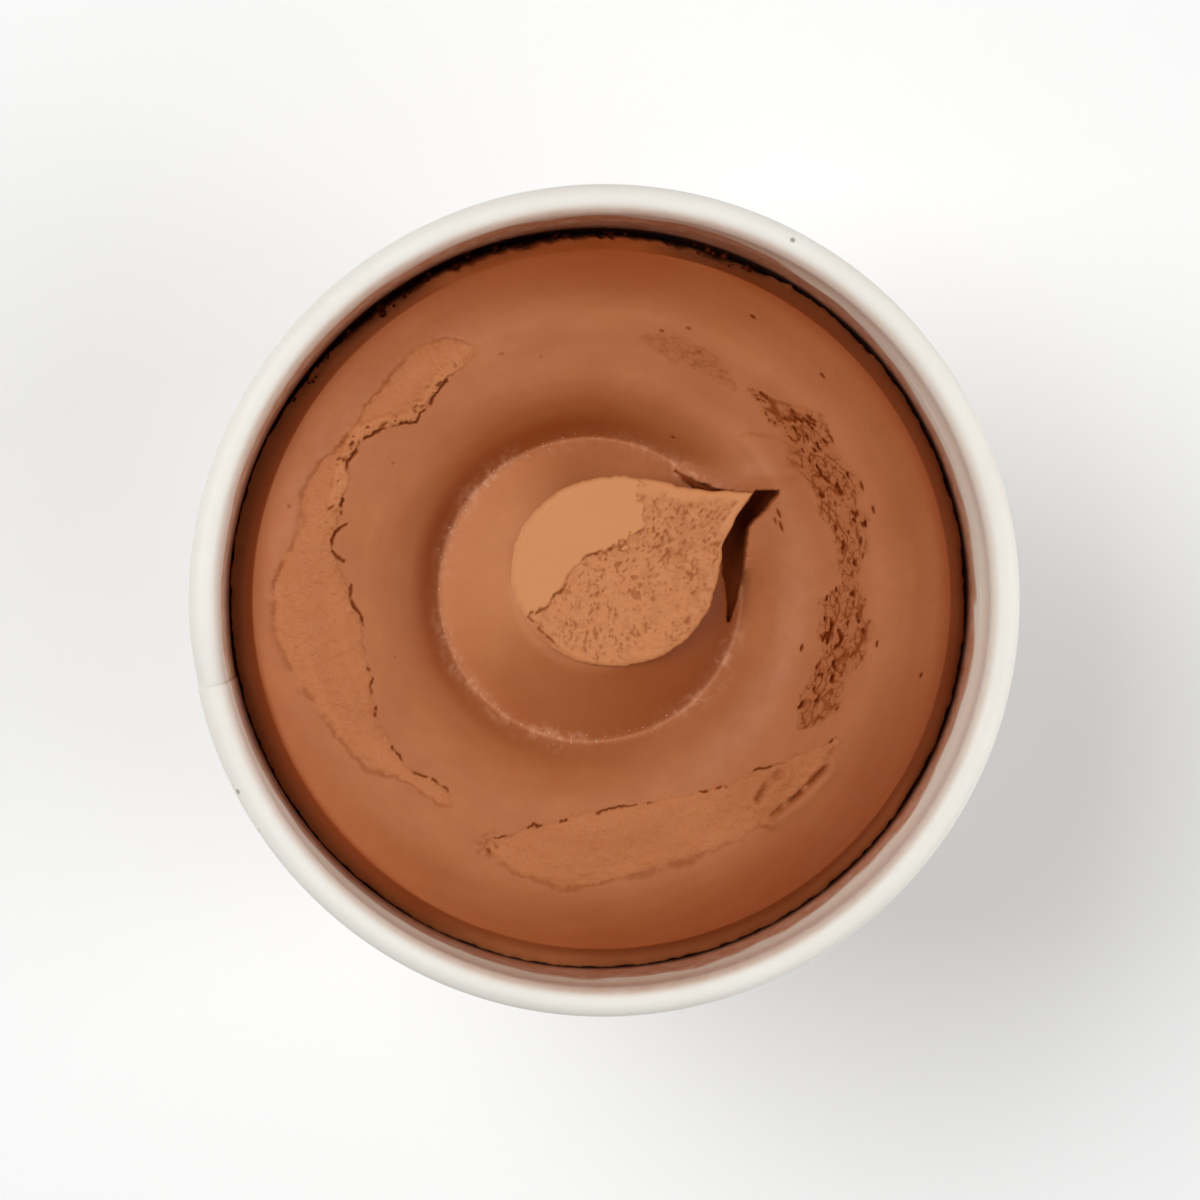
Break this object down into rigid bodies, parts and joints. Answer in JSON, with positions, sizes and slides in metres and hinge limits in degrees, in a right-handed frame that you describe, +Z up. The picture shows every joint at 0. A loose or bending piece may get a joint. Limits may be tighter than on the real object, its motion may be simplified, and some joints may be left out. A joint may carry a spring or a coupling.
{
  "type": "cup of chocolate sorbet",
  "caption": "Round tapered paper tub with a rolled rim, filled with chocolate sorbet whose top keeps a moulded ring, a groove and a folded peak.",
  "frame": {"origin": "on the table, at the middle of the foot ring", "axes": "+Z up along the tub's axis, +X towards the side that the folded peak's beak leans to, +Y towards the beak's own side"},
  "size_m": [0.097, 0.097, 0.093],
  "materials": {
    "paper": "white coated paperboard, satin",
    "sorbet": "frozen chocolate sorbet, soft sheen"
  },
  "bodies": {
    "root": {"cup_wall": "paper", "cup_base": "paper", "sorbet": "sorbet"}
  },
  "joints": []
}
